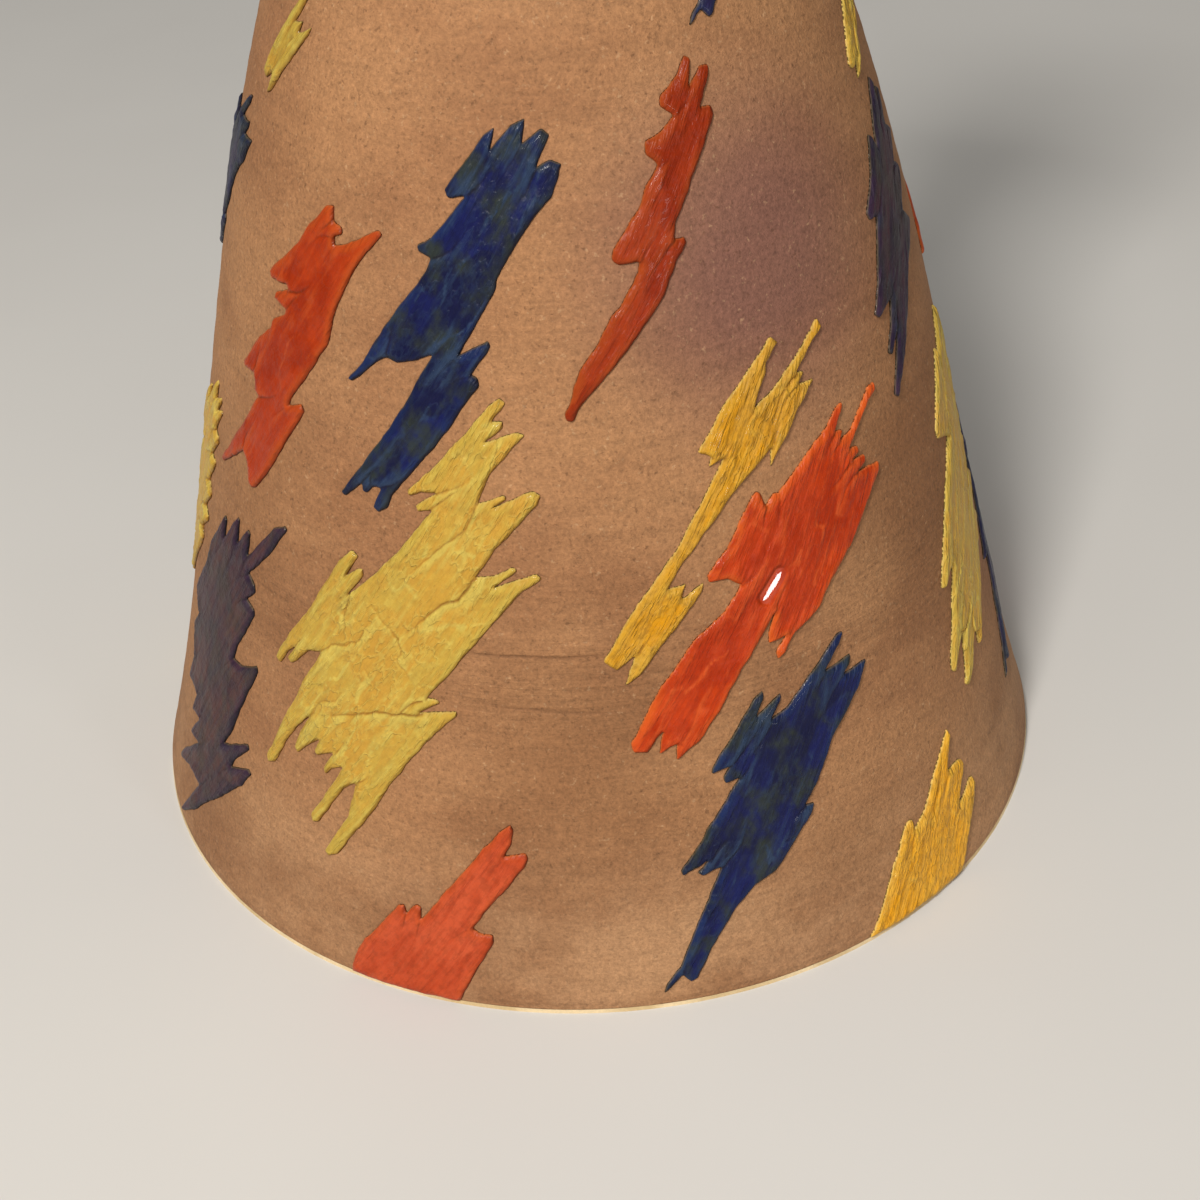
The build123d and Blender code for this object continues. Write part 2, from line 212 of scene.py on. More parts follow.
cut = scored(level / METRES, np.arctan2(back, across))
kept_cut = slip_coat.data.attributes.new("scored", "FLOAT", "POINT")
kept_cut.data.foreach_set("value", np.clip(cut / 0.3, 0, 1))
print("slip coat:", len(slip_coat.data.polygons), "faces")

# %% [markdown]
# ## The lining
# A vase has to hold water, so its inside is glazed. The lining was poured in, swirled and poured out:
# it is smooth, lies over the floor and walls, and is thick enough to round off the corner at the
# bottom.

# %% Turn the lining glaze
floor_face, corner_round = FLOOR_TOP + SKIN, 4
wall_z = np.linspace(floor_face + corner_round, RIM_CENTRE, 120)
corner = np.linspace(0, math.pi / 2, 8)[:-1]
corner_r = side_radius(floor_face) - LINING_INNER - corner_round + corner_round * np.sin(corner)
corner_z = floor_face + corner_round - corner_round * np.cos(corner)
inner_r = np.concatenate([corner_r, side_radius(wall_z) - LINING_INNER])
inner_z = np.concatenate([corner_z, wall_z])
outer_z = np.linspace(RIM_CENTRE, FLOOR_TOP, 60)
outer_r = side_radius(outer_z) - CLAY_INNER
# The floor's rings close on a pinhole too small to see, so that the loop stays one ring
floor_rings = [0.05, 40, 90]
radii = np.concatenate([floor_rings, inner_r, outer_r, floor_rings[::-1]])
heights = np.concatenate([[floor_face] * 3, inner_z, outer_z, [FLOOR_TOP] * 3])
lining = turned("lining_glaze_poured", radii, heights)
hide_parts("lining_glaze")
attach(lining, "root")
print("lining:", len(lining.data.polygons), "faces")

# %% [markdown]
# ## The outline of a splash
# Each splash of the solid model is a flat slice of glaze with straight-edged points. Its outer face
# gives the outline: the edges that only one outer triangle uses, walked round in order. They are
# unrolled from the side into a flat drawing, (across, up) from the middle of the splash, as if the
# side had been pressed flat.

# %% Read an outline from the frame


def outline_of(node):
    """(outline, middle angle, middle height) of a splash, in millimetres, counter-clockwise."""
    mesh = nodes[node].data
    spots = np.empty(len(mesh.vertices) * 3)
    mesh.vertices.foreach_get("co", spots)
    spots = spots.reshape(-1, 3) / METRES
    spots, welded = np.unique(np.round(spots, 4), axis=0, return_inverse=True)
    mesh.calc_loop_triangles()
    corners = np.empty(len(mesh.loop_triangles) * 3, int)
    mesh.loop_triangles.foreach_get("vertices", corners)
    corners = welded.reshape(-1)[corners].reshape(-1, 3)
    proud = np.hypot(spots[:, 0], spots[:, 1]) - side_radius(spots[:, 2])
    outer = corners[(proud[corners] > 0.7 * RELIEF).all(1)]
    sides = {(a, b) for t in outer.tolist() for a, b in zip(t, t[1:] + t[:1]) if a != b}
    after = {a: b for a, b in sides if (b, a) not in sides}
    loops = []
    while after:
        start, here = next(iter(after.items()))
        loop = [start]
        del after[start]
        while here != start and here in after:
            loop.append(here)
            here = after.pop(here)
        loops.append(loop)
    loop = spots[max(loops, key=len)]
    heading = math.atan2(loop[:, 1].mean(), loop[:, 0].mean())
    middle = (loop[:, 2].min() + loop[:, 2].max()) / 2
    away = (np.arctan2(loop[:, 1], loop[:, 0]) - heading + math.pi) % (2 * math.pi) - math.pi
    flat = np.stack([away * float(side_radius(middle)), loop[:, 2] - middle], 1)
    return flat, heading, middle


flat, heading, middle = outline_of("yellow_splash_01")
print("yellow_splash_01: outline points", len(flat), "span", np.ptp(flat, axis=0).round(1))

# %% [markdown]
# ## Letting the outline flow
# Melting glaze pulls its corners round and its edges wander. The outline is stepped out evenly,
# averaged with its neighbours twice, which takes the point off each corner, and then the whole
# drawing is warped by noise. The warps are small for their size, so the outline can't cross itself.

# %% Soften an outline
OUTLINE_STEP = 0.4
WARPS = [(8.0, 0.45), (3.1, 0.24), (1.4, 0.08)]  # (size of the bends, how far they reach)
GRAIN_TURN = math.radians(57)  # the splashes lean this far up from level
ALONG = np.array([math.cos(GRAIN_TURN), math.sin(GRAIN_TURN)])
ACROSS = np.array([-ALONG[1], ALONG[0]])


def ripple(points, size, seed):
    """Smooth noise at each flat point, about -1 to 1, with lumps of a size in millimetres."""
    return np.array([noise.noise(Vector((x / size, y / size, seed))) for x, y in points])


def stepped_out(points, step):
    """A closed outline with points an equal step apart."""
    ring = np.vstack([points, points[:1]])
    run = np.concatenate([[0], np.cumsum(np.hypot(*np.diff(ring, axis=0).T))])
    spots = np.linspace(0, run[-1], max(12, int(run[-1] / step)), endpoint=False)
    return np.stack([np.interp(spots, run, ring[:, axis]) for axis in (0, 1)], 1)


def softened(flat, seed):
    """The outline after the glaze has melted."""
    points = stepped_out(flat, OUTLINE_STEP)
    for _ in range(2):
        points = (np.roll(points, 1, 0) + 2 * points + np.roll(points, -1, 0)) / 4
    for size, reach in WARPS:
        shift = np.stack([ripple(points, size, seed + 3.1), ripple(points, size, seed + 8.7)], 1)
        points = points + reach * shift
    return points


print("softened outline points:", len(softened(flat, 11)))

# %% [markdown]
# ## Creases between the tongues
# A splash is built of several strokes, laid one on another. Where two tongues part, the line between
# them carries on into the glaze as a crease, with the upper stroke a little proud on one side. Every
# deep notch of the outline starts such a crease, which bends to run with the lean of the splash. The
# creases of the broad yellow splash are bold enough to be drawn one by one.

# %% Find the notches and draw the creases
NOTCH_TURN, CREASE_STEPS = math.radians(42), 12
DRAWN_STEP = 1.3  # millimetres between the points of a listed crease
CUT_WIDTH, CUT_DEPTH = 0.42, 0.50
LIP_HEIGHT, LIP_REACH = 0.34, 2.2


def creases_from(flat, seed):
    """Short bent lines into the splash, each an array of points with its strength at each."""
    before, after = flat - np.roll(flat, 1, 0), np.roll(flat, -1, 0) - flat
    crossed = before[:, 0] * after[:, 1] - before[:, 1] * after[:, 0]
    turn = np.arctan2(crossed, (before * after).sum(1))
    picks = np.random.default_rng(seed)
    creases = []
    for here in np.flatnonzero(turn < -NOTCH_TURN):
        inward = before[here] / np.hypot(*before[here]) - after[here] / np.hypot(*after[here])
        inward /= np.hypot(*inward)
        run = ALONG * (1 if inward @ ALONG > 0 else -1)
        length = picks.uniform(6, 20)
        point, heading, line = flat[here].copy(), inward, []
        for _ in range(CREASE_STEPS):
            line.append(point.copy())
            heading = heading + 0.24 * run + picks.normal(0, 0.13, 2)
            heading /= np.hypot(*heading)
            point = point + heading * length / (CREASE_STEPS - 1)
        fade = 1 - np.linspace(0, 1, CREASE_STEPS) ** 1.5
        creases.append((np.array(line), fade * picks.uniform(0.5, 1.0), picks.choice([-1, 1])))
    return creases


# Long creases of the broad yellow splash, in millimetres from a spot 26.7 degrees left of the front
# and 106 up: the line, its strength, and the side that stands up (-1 is the right side going along it)
BROAD_SPOT = (-26.7, 106)
broad_creases = [
    ([(26, 24.5), (20, 17), (15, 15), (9, 9.5), (2, 3)], 1.0, 1),
    ([(2, 3), (-4, 8), (-9, 13)], 0.5, 1),
    ([(2, 3), (3, -1), (1, -3), (4, -6), (7, -9)], 0.6, 1),
    ([(9, -18), (5, -19), (-3, -20), (-9, -22), (-14, -24.5), (-20, -26), (-26, -30)], 0.9, 1),
    ([(-26, -9.5), (-20, -5), (-16, -3.5), (-11, -1), (-8, 5), (-4, 10)], 0.7, -1),
    ([(-14.5, 11), (-16, 6), (-15.5, 1), (-18, -2)], 0.7, -1),
    ([(-12, 17), (-14, 13), (-19, 8), (-22, 1)], 0.5, -1),
    ([(26, 44), (22, 36), (18, 33.5), (13, 29), (5, 22), (-1, 14)], 0.7, 1),
    ([(12, 40.5), (16, 44), (20, 47), (23, 52)], 0.7, 1),
    ([(22, 36), (23, 28), (21, 22)], 0.4, -1),
    ([(-8, -18), (-6, -12), (-9, -7), (-4, -3)], 0.4, 1),
    ([(-28, -30.5), (-24, -24), (-18, -21), (-13, -14)], 0.6, -1),
]


def placed_creases(lines, spot, heading, middle):
    """Listed creases, moved to the flat drawing of their splash and stepped out finely."""
    moved = []
    round_shift = TO_FRONT + math.radians(spot[0]) - heading
    for line, strength, side in lines:
        line = np.array(line, float)
        line[:, 0] += round_shift * float(side_radius(middle))
        line[:, 1] += spot[1] - middle
        run = np.concatenate([[0], np.cumsum(np.hypot(*np.diff(line, axis=0).T))])
        spots = np.linspace(0, run[-1], max(5, int(run[-1] / DRAWN_STEP)))
        line = np.stack([np.interp(spots, run, line[:, axis]) for axis in (0, 1)], 1)
        line += 0.8 * np.stack([ripple(line, 3.3, 5.0), ripple(line, 3.3, 9.0)], 1)
        fade = strength * (1 - 0.8 * np.linspace(0, 1, len(line)) ** 3)
        moved.append((line, fade, side))
    return moved


def crease_relief(points, creases):
    """(relief, valley, ridge) of the creases: a narrow valley with one side standing up."""
    relief, valley, ridge = np.zeros(len(points)), np.zeros(len(points)), np.zeros(len(points))
    for line, strength, side in creases:
        nearest = np.full(len(points), 99.0)
        signed, here = np.zeros(len(points)), np.zeros(len(points))
        for start, end, strong, weak in zip(line, line[1:], strength, strength[1:]):
            run = end - start
            part = np.clip(((points - start) @ run) / (run @ run), 0, 1)
            gap = points - (start + part[:, None] * run)
            far = np.hypot(gap[:, 0], gap[:, 1])
            closer = far < nearest
            nearest = np.where(closer, far, nearest)
            cross = run[0] * gap[:, 1] - run[1] * gap[:, 0]
            signed = np.where(closer, side * np.sign(cross) * far, signed)
            here = np.where(closer, strong + (weak - strong) * part, here)
        cut = np.exp(-((nearest / CUT_WIDTH) ** 2)) * here
        beyond_cut = 1 - np.exp(-((nearest / 0.4) ** 2))
        lip = np.where(signed > 0, np.exp(-nearest / LIP_REACH), 0) * here * beyond_cut
        relief += LIP_HEIGHT * lip - CUT_DEPTH * cut
        valley = np.maximum(valley, cut)
        ridge = np.maximum(ridge, lip)
    return relief, valley, ridge


print("creases from the notches:", len(creases_from(flat, 11)), "drawn by hand:", len(broad_creases))

# %% [markdown]
# ## The points of a splash's mesh
# The edge of a glaze bead turns over within a millimetre, so the mesh needs close rings there, a
# little wider apart each time. Inside them an even staggered grid is enough, with extra rows beside
# each crease. A constrained Delaunay triangulation then joins the points into well-shaped triangles
# and keeps the outline.

# %% Rings, grid and rows beside creases
RINGS = [(0.10, 1), (0.30, 1), (0.62, 1), (1.05, 2)]  # (millimetres in, use every nth outline point)
GRID_STEP, GRID_FROM_EDGE, CREASE_FROM_EDGE = 0.72, 1.4, 1.5
BESIDE_CREASE, CLEAR_OF_CREASE = (-0.8, -0.4, 0, 0.4, 0.8), 0.36


def inside_rows(outline, step):
    """Staggered grid points inside a closed outline, row by row."""
    ahead = np.roll(outline, -1, 0)
    rows = []
    levels = np.arange(outline[:, 1].min() + step / 3, outline[:, 1].max(), step * 0.87)
    for count, up in enumerate(levels):
        crossed = (outline[:, 1] <= up) != (ahead[:, 1] <= up)
        a, b = outline[crossed], ahead[crossed]
        hits = np.sort(a[:, 0] + (up - a[:, 1]) / (b[:, 1] - a[:, 1]) * (b[:, 0] - a[:, 0]))
        for low, high in zip(hits[::2], hits[1::2]):
            first = math.ceil(low / step - count % 2 / 2) + count % 2 / 2
            across = np.arange(first, high / step) * step
            rows.append(np.stack([across, np.full(len(across), up)], 1))
    return np.vstack(rows)


def nearest_to(points, marks):
    """(which mark is nearest, how far it is) for each point, from a tree of the marks."""
    tree = kdtree.KDTree(len(marks))
    for index, (x, y) in enumerate(marks):
        tree.insert((x, y, 0), index)
    tree.balance()
    found = [tree.find((x, y, 0)) for x, y in points]
    return np.array([index for _, index, _ in found], int), np.array([gap for *_, gap in found])


def depth_in(points, outline):
    """Distance of each point from the outline."""
    ahead = np.roll(outline, -1, 0)
    close = np.vstack([outline + (ahead - outline) * part for part in (0, 0.25, 0.5, 0.75)])
    return nearest_to(points, close)[1]


# The lamp shines from up and to the left: the glaze paints a highlight on edges facing this way and paints
# shade on edges facing away
UP_AND_LEFT = (-0.8, 0.6)


def side_of(points, outline):
    """How far the edge nearest each point faces up and to the left: 1 fully, -1 the other way."""
    ahead = np.roll(outline, -1, 0) - np.roll(outline, 1, 0)
    outward = np.stack([ahead[:, 1], -ahead[:, 0]], 1) / np.hypot(ahead[:, 0], ahead[:, 1])[:, None]
    return outward[nearest_to(points, outline)[0]] @ UP_AND_LEFT


def inside(points, outline):
    """Which points lie inside, by counting crossings to their right."""
    ahead = np.roll(outline, -1, 0)
    found = np.zeros(len(points), bool)
    for a, b in zip(outline, ahead):
        if a[1] != b[1]:
            crossed = (a[1] <= points[:, 1]) != (b[1] <= points[:, 1])
            where = a[0] + (points[:, 1] - a[1]) / (b[1] - a[1]) * (b[0] - a[0])
            found ^= crossed & (points[:, 0] < where)
    return found


def mesh_points(outline, creases):
    """Every point inside the outline that the top of the splash needs."""
    ahead = np.roll(outline, -1, 0) - np.roll(outline, 1, 0)
    inward = np.stack([-ahead[:, 1], ahead[:, 0]], 1) / np.hypot(ahead[:, 0], ahead[:, 1])[:, None]
    kept = []
    for gap, nth in RINGS:
        ring = (outline + gap * inward)[::nth]
        kept.append(ring[depth_in(ring, outline) > gap * 0.93])
    grid = inside_rows(outline, GRID_STEP)
    grid = grid[depth_in(grid, outline) > GRID_FROM_EDGE]
    beside = []
    for line, *_ in creases:
        fine = np.vstack([line[:-1] + (line[1:] - line[:-1]) * part for part in (0, 0.5)])
        run = np.gradient(line, axis=0)
        run = np.vstack([run[:-1], (run[:-1] + run[1:]) / 2])
        square = np.stack([-run[:, 1], run[:, 0]], 1) / np.hypot(run[:, 0], run[:, 1])[:, None]
        beside += [fine + gap * square for gap in BESIDE_CREASE]
    if not beside:
        return np.vstack([*kept, grid])
    beside = np.vstack(beside)
    grid = grid[nearest_to(grid, beside)[1] > CLEAR_OF_CREASE]
    beside = beside[inside(beside, outline)]
    beside = beside[depth_in(beside, outline) > CREASE_FROM_EDGE]
    return np.vstack([*kept, grid, beside])


def triangles(outline, points):
    """(points, triangles) of the drawing, with the outline kept as an edge."""
    every = [Vector(p) for p in np.vstack([outline, points]).tolist()]
    loop = [(i, (i + 1) % len(outline)) for i in range(len(outline))]
    spots, _, faces, *_ = delaunay_2d_cdt(every, loop, [], 1, 1e-5)
    return np.array([tuple(p) for p in spots]), faces


print("grid points inside the first splash:", len(inside_rows(flat, GRID_STEP)))

# %% [markdown]
# ## Strokes side by side
# Trailed glaze keeps its strokes when it fires. Each is a long cell round a centre of its own, drawn
# out along the lean. It has its own level and tilt, so there is a step where two meet, and a tone,
# which gives it more or less of the deep colour.

# %% Lay the strokes
STROKE_SIZE, STROKE_STRETCH = 6.5, 3.0
STROKE_WANDER, STROKE_TILT, SOFT_STEP = 1.7, 0.30, 0.7


def strokes(points, size, seed):
    """(height, step, tone) of the strokes at each point."""
    picks = np.random.default_rng(seed)
    wander = np.stack([ripple(points, 5.5, seed + 1.7), ripple(points, 5.5, seed + 4.9)], 1)
    bent = points + STROKE_WANDER * wander
    spots = np.stack([bent @ ALONG / STROKE_STRETCH, bent @ ACROSS], 1)
    low = np.floor(spots.min(0) / size) - 1
    count = (np.ceil(spots.max(0) / size) + 1 - low).astype(int)
    cells = np.indices(count).reshape(2, -1).T + low
    centres = (cells + picks.uniform(0.05, 0.95, cells.shape)) * size
    level, tone = picks.uniform(-1, 1, len(cells)), picks.uniform(0, 1, len(cells))
    tilt = picks.normal(0, STROKE_TILT, cells.shape)
    gaps = np.hypot(spots[:, None, 0] - centres[None, :, 0], spots[:, None, 1] - centres[None, :, 1])
    near = np.argpartition(gaps, 1, axis=1)[:, :2]
    pair = np.take_along_axis(gaps, near, 1)
    near = np.where((pair[:, 0] > pair[:, 1])[:, None], near[:, ::-1], near)
    pair.sort(axis=1)
    faces = level[near] + (tilt[near] * (spots[:, None] - centres[near])).sum(-1) / size * 2
    edge = smoothly((pair[:, 1] - pair[:, 0]) / SOFT_STEP)
    share = 0.5 + 0.5 * edge
    blended = share * faces[:, 0] + (1 - share) * faces[:, 1]
    step = np.abs(faces[:, 0] - faces[:, 1]) * (1 - edge)
    return blended, step, share * tone[near[:, 0]] + (1 - share) * tone[near[:, 1]]


print("strokes at the outline step by up to", round(strokes(flat, STROKE_SIZE, 11)[1].max(), 2))

# %% [markdown]
# ## The height of the glaze
# The height over the slip is a sum: a round edge as on a bead of water, a slow swelling towards the
# middle, lumps and strokes, strands drawn out along the lean, and the creases. The strands stand
# higher near the edge, where the glaze ran out into fingers.

# %% Add up the height
EDGE = 1.15  # the bead turns over within this many millimetres
# How thick the glaze lies near its edge, and what the middle and the shoulder inside the edge add
THIN, THICKER, SHOULDER = 0.92, 0.26, 0.16


def glaze_height(points, outline, creases, folding, seed, calm):
    """(height over the slip, depth from the edge, crease, ridge, tone) at each point."""
    depth = depth_in(points, outline)
    bead = np.sqrt(1 - (1 - np.clip(depth / EDGE, 0, 1)) ** 2)
    turned_flat = np.stack([points @ ALONG, 2.4 * (points @ ACROSS)], 1)
    lumps = 0.10 * ripple(turned_flat, 9, seed) + 0.06 * ripple(turned_flat, 3.6, seed + 5)
    broad, broad_step, tone = strokes(points, STROKE_SIZE, seed)
    strands = np.stack([0.16 * (points @ ALONG), points @ ACROSS], 1)
    strand = 1 - 2 * np.abs(ripple(strands, 1.9, seed + 6)) + 0.5 * ripple(strands, 3.1, seed + 9)
    near_end = np.exp(-depth / 3.5)
    lumps = lumps + folding * (0.15 * broad + (0.09 + 0.19 * near_end) * strand)
    folds, valley, ridge = crease_relief(points, creases)
    body = THIN + THICKER * (1 - np.exp(-depth / 4)) + SHOULDER * np.exp(-(((depth - 1.6) / 0.9) ** 2))
    inner = smoothly((depth - 0.3) / 1.2)
    ridge = np.clip(ridge + folding * inner * (0.35 * broad_step + 0.5 * near_end * (strand - 0.5)), 0, 1)
    uneven = lumps + (0.5 + 0.5 * folding) * folds
    return bead * (body + inner * (1 - calm) * uneven), depth, valley, ridge, tone


# %% [markdown]
# ## The glassy pool
# One spot of the bent red splash fired to a small glassy pool. It is calm, so it takes none of the
# lumps, and leans a little up and to the left, where a window is mirrored in it.

# %% Place the pool
# Its two ends in millimetres, from a spot 26.8 degrees right of the front and 118 up
POOL_SPOT, POOL_ENDS = (26.8, 118), ((-6.3, -2.3), (-1.2, 2.8))
POOL_WIDTH, POOL_SLOPE = 2.0, 0.30


def pool_at(points, heading, middle):
    """(pool, lift): 1 along the middle of the pool, falling to 0 within four millimetres of it, and
    the height that its slope adds, in millimetres."""
    shift = (TO_FRONT + math.radians(POOL_SPOT[0]) - heading) * float(side_radius(middle))
    start, end = (np.array(e) + (shift, POOL_SPOT[1] - middle) for e in POOL_ENDS)
    run = end - start
    part = np.clip(((points - start) @ run) / (run @ run), 0, 1)
    gap = points - (start + part[:, None] * run)
    pool = np.exp(-((gap**2).sum(1) / POOL_WIDTH**2))
    lower_right = gap @ (run[1], -run[0]) / np.hypot(*run)
    return pool, POOL_SLOPE * lower_right * pool


# %% [markdown]
# ## Pouring a splash
# The top is laid on the slip's surface and pressed into it by a hair, so that no gap shows. The
# underside is a coarser sheet just inside the slip and shares the outline's points, which makes the
# splash a closed lump. What the finish needs, such as the depth from the edge, is kept on the mesh as
# one number for each point.

# %% Pour every splash
SINK = 0.08  # the splash sits this far into the slip, as fired glaze does
UNDERSIDE_STEP, UNDERSIDE_DEPTH = 4.0, 0.25
ON_THE_EDGE, DEPTH_SHARE = 0.01, 0.25  # the finish reads a depth of 1 at 4 mm in
FIRST_SEED, NEXT_SEED = 11, 7
FOLDING = {"yellow": 1.0, "red": 0.6, "blue": 0.7}  # how much of its strokes each glaze keeps in firing
# Each splash of the front: how far it leans to the second colour of its glaze, and how light it is
SHADES = {
    "yellow_splash_01": (0.05, 0.88), "yellow_splash_02": (1.0, 0.92), "yellow_splash_03": (1.0, 1.15),
    "yellow_splash_04": (0.1, 0.95), "red_splash_01": (0.0, 1.0), "red_splash_02": (1.0, 0.84),
    "red_splash_03": (0.2, 0.57), "red_splash_04": (0.1, 0.74), "blue_splash_01": (0.0, 0.9),
    "blue_splash_02": (0.0, 0.9), "blue_splash_03": (1.0, 0.9), "blue_splash_04": (0.8, 0.8),
}


def laid(points, height, heading, middle):
    """Flat points laid on the side of the vase, in metres."""
    angle = heading + points[:, 0] / float(side_radius(middle))
    level = np.maximum(middle + points[:, 1], BARE_BAND)
    radius = slip_radius(level, angle) - SINK + height
    return np.stack([radius * np.cos(angle), radius * np.sin(angle), level], 1) * METRES


def pour(node, seed):
    """(the poured piece of a node, how many of its edges aren't shared by two faces)."""
    flat, heading, middle = outline_of(node)
    outline, creases = softened(flat, seed), creases_from(flat, seed)
    if node == "yellow_splash_01":
        creases = creases[::2] + placed_creases(broad_creases, BROAD_SPOT, heading, middle)
    top, top_faces = triangles(outline, mesh_points(outline, creases))
    below = inside_rows(outline, UNDERSIDE_STEP)
    under, under_faces = triangles(outline, below[depth_in(below, outline) > 1])
    folding = FOLDING[node.split("_")[0]]
    pool = lift = np.zeros(len(top))
    if node == "red_splash_01":
        pool, lift = pool_at(top, heading, middle)
    calm = np.clip(3 * pool, 0, 1)
    height, depth, valley, ridge, tone = glaze_height(top, outline, creases, folding, seed, calm)
    height = np.where(depth < ON_THE_EDGE, 0, height + lift)
    drop = np.where(depth_in(under, outline) < ON_THE_EDGE, 0, -UNDERSIDE_DEPTH)
    spots = np.vstack([laid(top, height, heading, middle), laid(under, drop, heading, middle)])
    faces = [tuple(f) for f in top_faces]
    faces += [tuple(len(top) + i for i in reversed(f)) for f in under_faces]
    mesh = bpy.data.meshes.new(node + "_poured")
    mesh.from_pydata(spots.tolist(), [], faces)
    by_seed = (0.3 * (seed % 5) / 4, 0.8 + 0.06 * (seed % 4))  # for the sides and back
    cast, shade = SHADES.get(node, by_seed)
    kept = {
        "depth": depth * DEPTH_SHARE, "side": side_of(top, outline), "valley": valley, "ridge": ridge,
        "cast": np.full(len(top), cast), "shade": np.full(len(top), shade), "tone": tone, "pool": pool,
        "along": top @ ALONG, "across": top @ ACROSS,
    }
    for word, values in kept.items():
        made = mesh.attributes.new(word, "FLOAT", "POINT")
        made.data.foreach_set("value", np.concatenate([values, np.zeros(len(under))]))
    # Weld the top to the underside, and drop a triangle that both have where a finger is that narrow
    whole = bmesh.new()
    whole.from_mesh(mesh)
    bmesh.ops.remove_doubles(whole, verts=whole.verts, dist=2e-7)
    pinched = [f for f in whole.faces if all(len(e.link_faces) != 2 for e in f.edges)]
    bmesh.ops.delete(whole, geom=pinched, context="FACES")
    loose = [e for e in whole.edges if len(e.link_faces) != 2]
    whole.to_mesh(mesh)
    whole.free()
    mesh.polygons.foreach_set("use_smooth", [True] * len(mesh.polygons))
    piece = bpy.data.objects.new(node + "_poured", mesh)
    bpy.context.scene.collection.objects.link(piece)
    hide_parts(node)
    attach(piece, "root")
    node.split("_")[0] + "_glaze"
    return piece, len(loose)


poured = {}
for number, node in enumerate(splash_nodes):
    poured[node], loose = pour(node, FIRST_SEED + NEXT_SEED * number)
    print(node, len(poured[node].data.polygons), "triangles, edges not shared by two:", loose)

# %% [markdown]
# ## Nodes written as sums
# A finish is arithmetic on positions, noises and colours. A Flow wraps a node's output, so that
# Python's own signs add the Math nodes: a * 0.5 + b makes two of them. A Math node would turn a
# colour grey, so colours are mixed by a Mix node. Any other node comes from the one node method.

# %% The finish mixer


class Flow:
    """A number, colour or vector on its way from one node to the next."""

    def __init__(self, finish, socket):
        self.finish, self.socket = finish, socket

    def sum(self, operation, first, second):
        return self.finish.node("ShaderNodeMath", {"operation": operation}, {0: first, 1: second})

    def __add__(self, other):
        return self.sum("ADD", self, other)

    def __sub__(self, other):
        return self.sum("SUBTRACT", self, other)

    def __rsub__(self, other):
        return self.sum("SUBTRACT", other, self)

    def __mul__(self, other):
        return self.sum("MULTIPLY", self, other)

    __radd__, __rmul__ = __add__, __mul__  # these come out the same either way round


class Nodes:
    """The nodes of a material or a sky, which feed its shader."""

    def __init__(self, holder, shader, fixed):
        holder.use_nodes = True
        self.tree = holder.node_tree
        self.shader = self.tree.nodes[shader]
        for socket, value in fixed.items():
            self.shader.inputs[socket.replace("_", " ")].default_value = value

    def node(self, kind, settings=None, inputs=None, out=0):
        """Any node: its settings first, then the value or link of each socket."""
        made = self.tree.nodes.new(kind)
        for setting, value in (settings or {}).items():
            setattr(made, setting, value)
        for socket, value in (inputs or {}).items():
            if isinstance(value, Flow):
                self.tree.links.new(value.socket, made.inputs[socket])
            else:
                made.inputs[socket].default_value = value
        return Flow(self, made.outputs[out])

    def feed(self, **flows):
        for socket, flow in flows.items():
            self.tree.links.new(flow.socket, self.shader.inputs[socket.replace("_", " ")])


class Finish(Nodes):
    """One material, with the helpers that its recipe is written in."""

    def __init__(self, name, **fixed):
        self.material = bpy.data.materials.new(name)
        super().__init__(self.material, "Principled BSDF", fixed)

    def vectors(self, operation, first, second, out=0):
        return self.node("ShaderNodeVectorMath", {"operation": operation}, {0: first, 1: second}, out)

    def place(self, x=1, y=1, z=1):
        """The spot on the object in metres, stretched by a number along each axis."""
        return self.vectors("MULTIPLY", self.node("ShaderNodeTexCoord", out="Object"), (x, y, z))

    def far(self, spot, centre):
        """Distance from the spot to a centre."""
        return self.vectors("DISTANCE", spot, centre, out=1)

    def along(self, spot, way):
        """How far the spot lies along a direction."""
        return self.vectors("DOT_PRODUCT", spot, way, out=1)

    def stacked(self, x, y, z=0):
        """Three numbers as one vector."""
        return self.node("ShaderNodeCombineXYZ", inputs={0: x, 1: y, 2: z})

    def cloud(self, spot, scale, detail=3, rough=0.55):
        """Noise from about 0.3 to 0.7."""
        sizes = {"Vector": spot, "Scale": scale, "Detail": detail, "Roughness": rough}
        return self.node("ShaderNodeTexNoise", inputs=sizes)

    def between(self, value, low, high):
        """0 where the value is below low, 1 above high, easy in between."""
        ends = {"Value": value, "From Min": low, "From Max": high}
        return self.node("ShaderNodeMapRange", {"interpolation_type": "SMOOTHSTEP"}, ends)

    def mix(self, low, high, share):
        return self.node("ShaderNodeMix", {"data_type": "RGBA"}, {0: share, 6: low, 7: high}, out=2)

    def tint(self, colour, light):
        """A colour made lighter or darker by a number round 1."""
        return self.vectors("MULTIPLY", colour, self.stacked(light, light, light))

    def bumped(self, height, strength, distance):
        """The skin's direction, tipped by a height that reaches over a distance in metres."""
        sizes = {"Strength": strength, "Distance": distance, "Height": height}
        self.feed(Normal=self.node("ShaderNodeBump", inputs=sizes))

    def kept(self, word):
        """A number kept on the mesh."""
        return self.node("ShaderNodeAttribute", {"attribute_name": word}, out="Fac")


def seen(red, green, blue):
    """A colour as the eye reads it, 0 to 255, turned into the linear light that nodes mix."""
    def light(v):
        v /= 255
        return v / 12.92 if v <= 0.04045 else ((v + 0.055) / 1.055) ** 2.4

    return (light(red), light(green), light(blue), 1)


print("the eye's middle grey is this much light:", round(seen(128, 128, 128)[0], 3))
